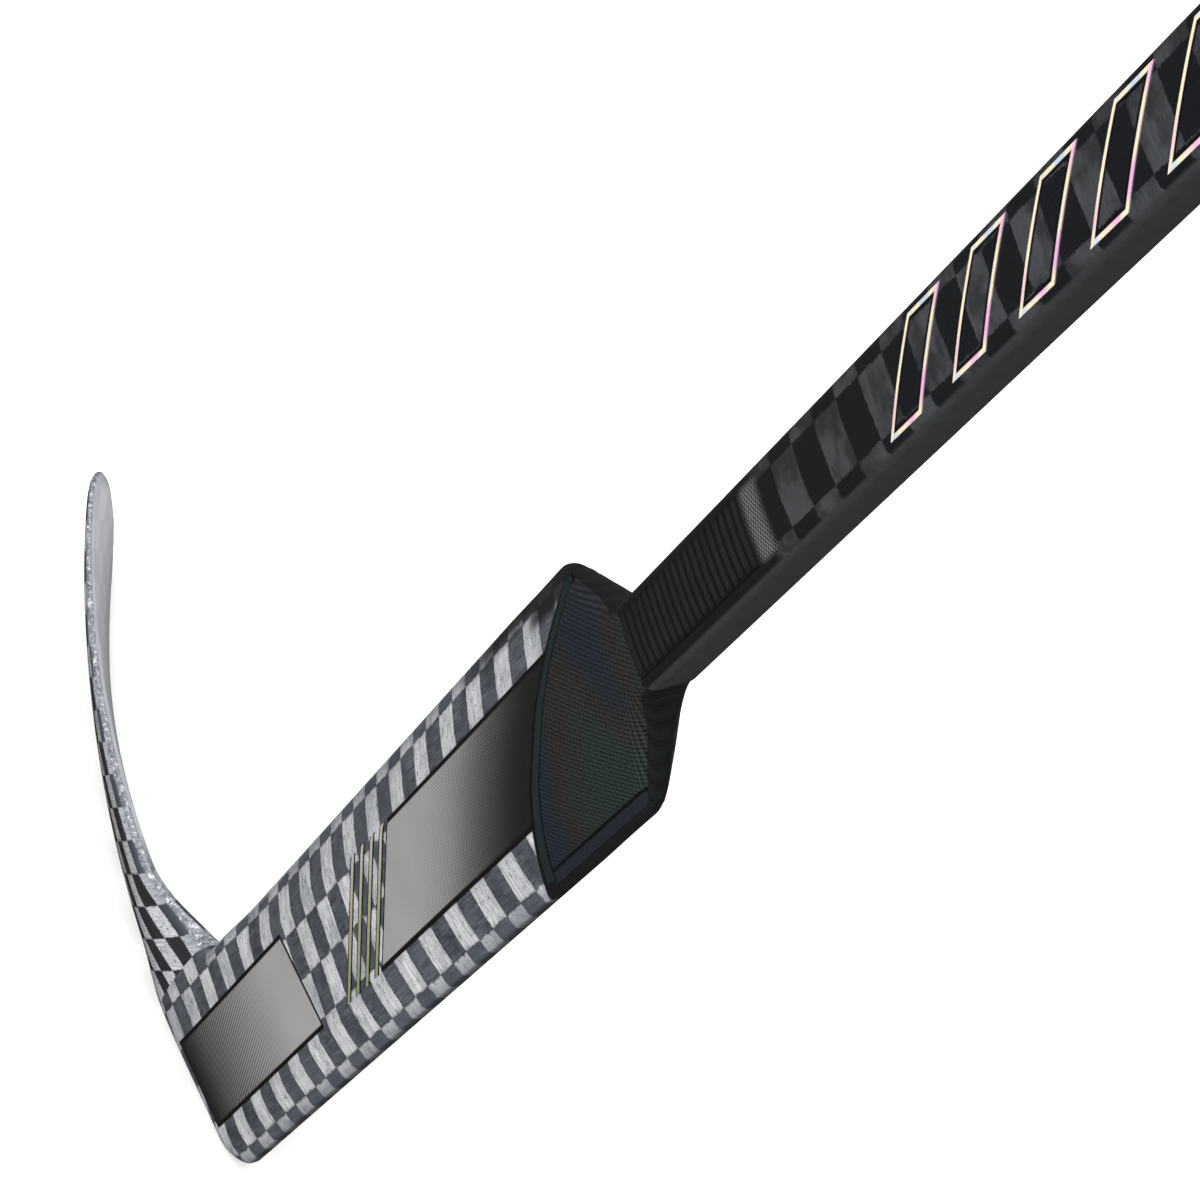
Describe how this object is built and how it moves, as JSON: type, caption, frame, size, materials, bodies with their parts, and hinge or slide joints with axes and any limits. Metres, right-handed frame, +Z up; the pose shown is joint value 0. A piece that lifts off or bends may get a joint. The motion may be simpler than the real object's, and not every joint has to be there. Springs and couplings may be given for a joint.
{
  "type": "goaltender ice hockey stick",
  "caption": "Goaltender's ice hockey stick: hollow shaft on a tenon, wide foam-cored paddle with checkered laminate skins, and a curved open-faced blade.",
  "frame": {"origin": "the point of the flat sole where the shaft axis meets it, midway through the blade's thickness", "axes": "+Z up from the sole, +X along the sole toward the toe, +Y out of the back face; the shaft leans toward -X, 114 degrees from +X, and the blade curves toward -Y"},
  "size_m": [0.9428, 0.085, 1.3765],
  "materials": {
    "foam": "matte",
    "inner_laminate": "matte",
    "checker_laminate": "gloss",
    "edge_laminate": "gloss",
    "grip": "satin",
    "cap": "matte",
    "shaft_laminate": "gloss",
    "shoulder_laminate": "satin",
    "panel_foil": "satin",
    "wrap_film": "satin",
    "trim_foil": "satin",
    "stripe_foil": "gloss"
  },
  "bodies": {
    "root": {"shaft_tube": "shaft_laminate", "shaft_tenon": "inner_laminate", "shaft_foam_plug": "foam", "butt_cap": "cap", "grip_ribs_back": "grip", "grip_ribs_front": "grip", "shoulder_cap": "shoulder_laminate", "paddle_back_skin": "checker_laminate", "paddle_front_skin": "checker_laminate", "paddle_core_inner": "foam", "paddle_core_outer": "foam", "paddle_spar": "inner_laminate", "paddle_inner_rail": "edge_laminate", "paddle_outer_rail": "edge_laminate", "heel_back_skin": "checker_laminate", "heel_front_skin": "checker_laminate", "heel_core": "foam", "heel_rail": "edge_laminate", "crotch_rail": "edge_laminate", "blade_back_skin": "checker_laminate", "blade_front_skin": "checker_laminate", "blade_core_lower": "foam", "blade_rib": "inner_laminate", "blade_core_upper": "foam", "blade_sole_rail": "edge_laminate", "toe_rail": "edge_laminate", "blade_top_rail": "edge_laminate", "panel_lower_back": "panel_foil", "panel_lower_front": "panel_foil", "panel_upper_back": "panel_foil", "panel_upper_front": "panel_foil", "pinstripes_back": "stripe_foil", "pinstripes_front": "stripe_foil", "shoulder_trim_back": "trim_foil", "shoulder_trim_front": "trim_foil", "shoulder_wrap_back": "wrap_film", "shoulder_wrap_front": "wrap_film", "shaft_bars_back": "stripe_foil", "shaft_bars_front": "stripe_foil"}
  },
  "joints": []
}
